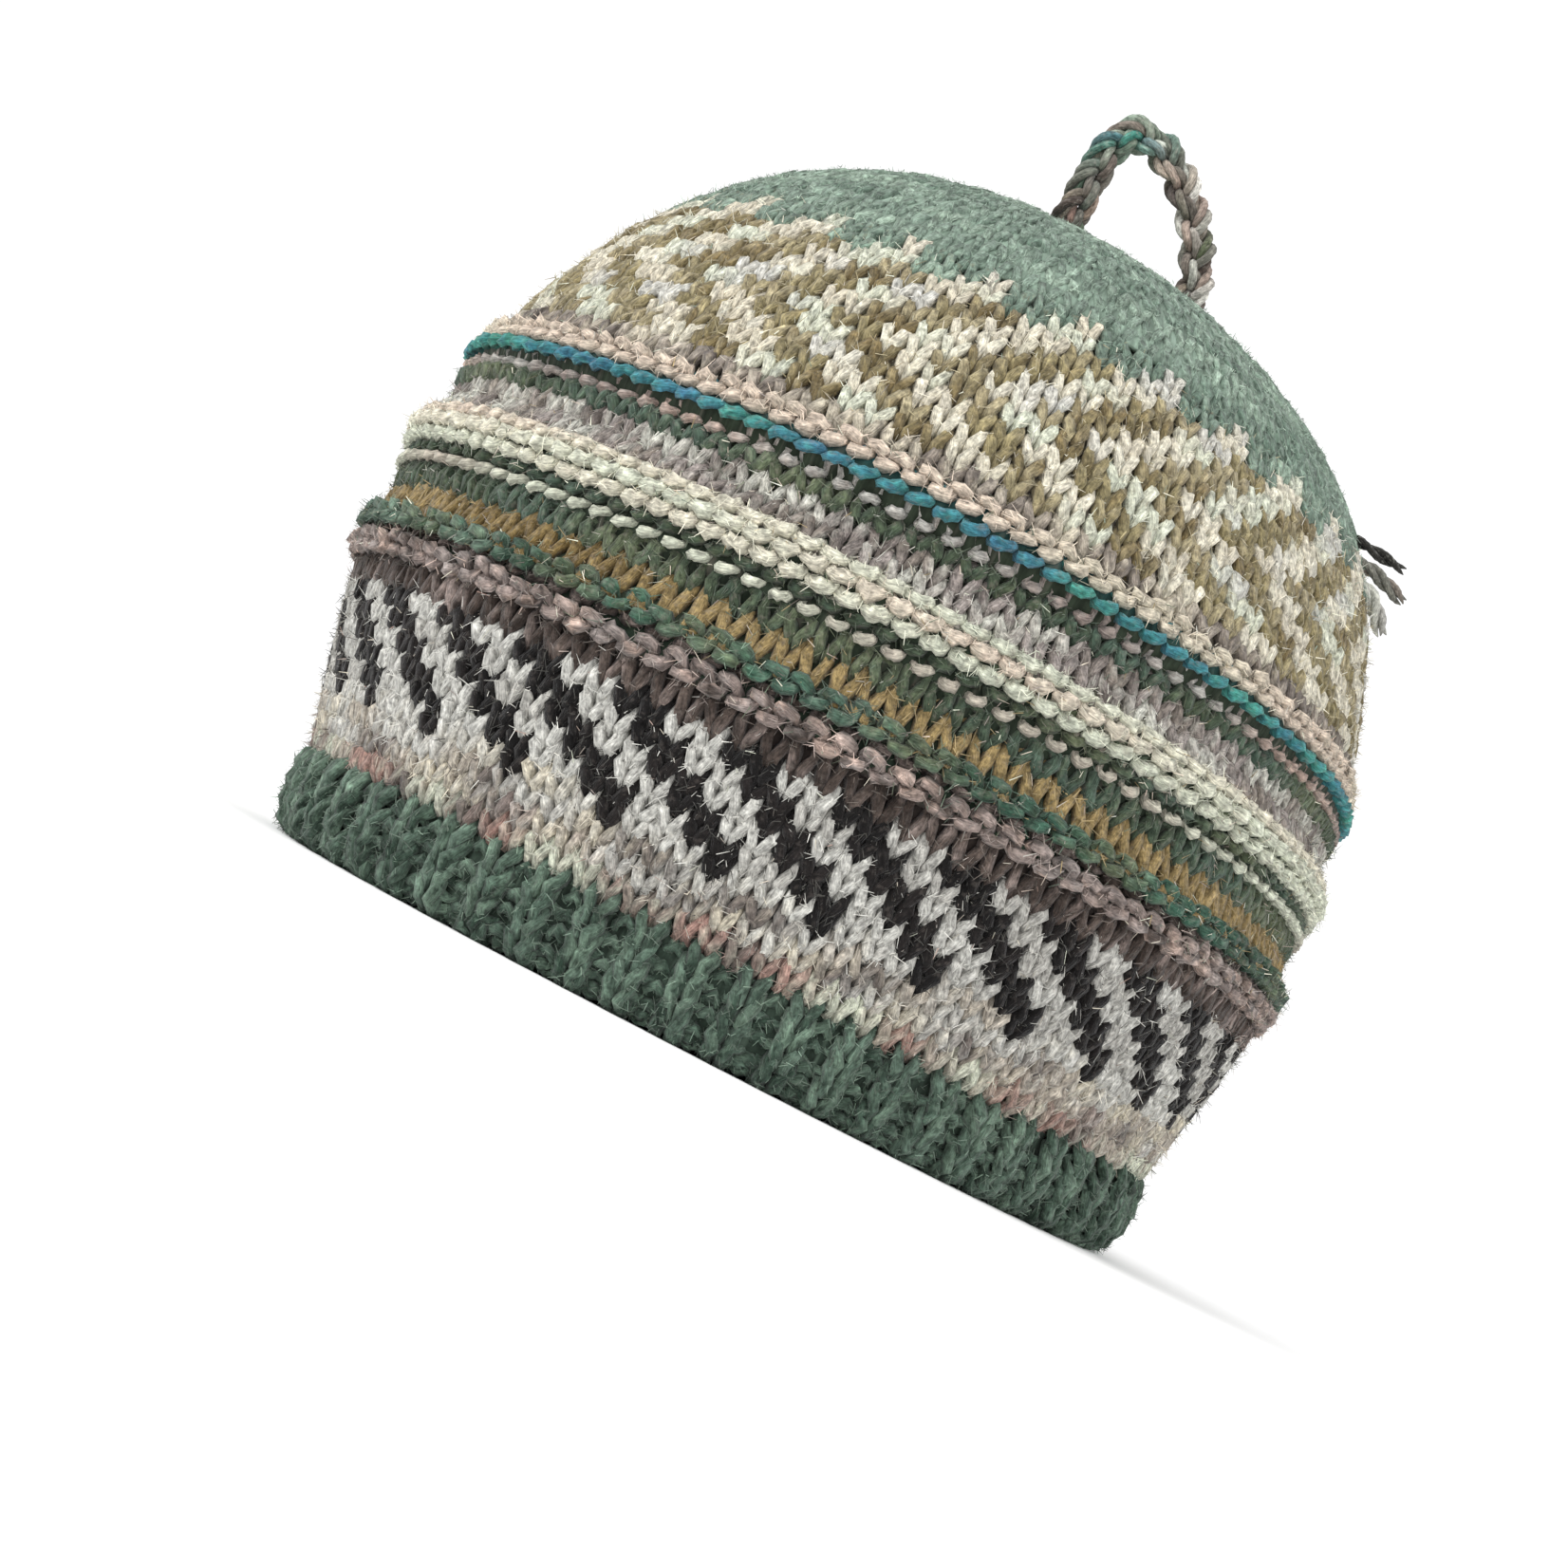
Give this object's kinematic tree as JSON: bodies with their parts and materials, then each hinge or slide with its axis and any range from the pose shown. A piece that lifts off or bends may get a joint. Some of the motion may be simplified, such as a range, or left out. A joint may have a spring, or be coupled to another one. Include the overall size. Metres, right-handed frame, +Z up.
{
  "type": "knitted beanie",
  "caption": "Domed knitted wool beanie with a ribbed rim, patterned bands, purl welts, a plain crown and a plaited hanging loop with loose yarn ends.",
  "frame": {"origin": "centre of the rim, on the surface that it rests on", "axes": "+Z up through the crown, -Y towards the front of the head, +Y along the longer way of the oval"},
  "size_m": [0.2022, 0.2216, 0.2143],
  "materials": {
    "rib_green": "fuzzy heather green wool rib",
    "lower_colourwork": "stranded wool, cream, black, white and taupe",
    "welt_colours": "striped wool, taupe, green, gold, cream, grey, teal and pink",
    "upper_colourwork": "stranded wool, cream and olive",
    "crown_green": "soft felted green wool",
    "plait_taupe": "plied wool, grey taupe and pink beige",
    "plait_pale": "plied wool, white and teal",
    "plait_green": "plied wool, green, olive and charcoal",
    "loose_yarn": "loose wool yarn, charcoal, grey and cream"
  },
  "bodies": {
    "root": {"rib_band": "rib_green", "lower_panel": "lower_colourwork", "welt_stripes": "welt_colours", "upper_panel": "upper_colourwork", "crown": "crown_green", "loop_strand_1": "plait_taupe", "loop_strand_2": "plait_pale", "loop_strand_3": "plait_green", "yarn_tassel": "loose_yarn"}
  },
  "joints": []
}
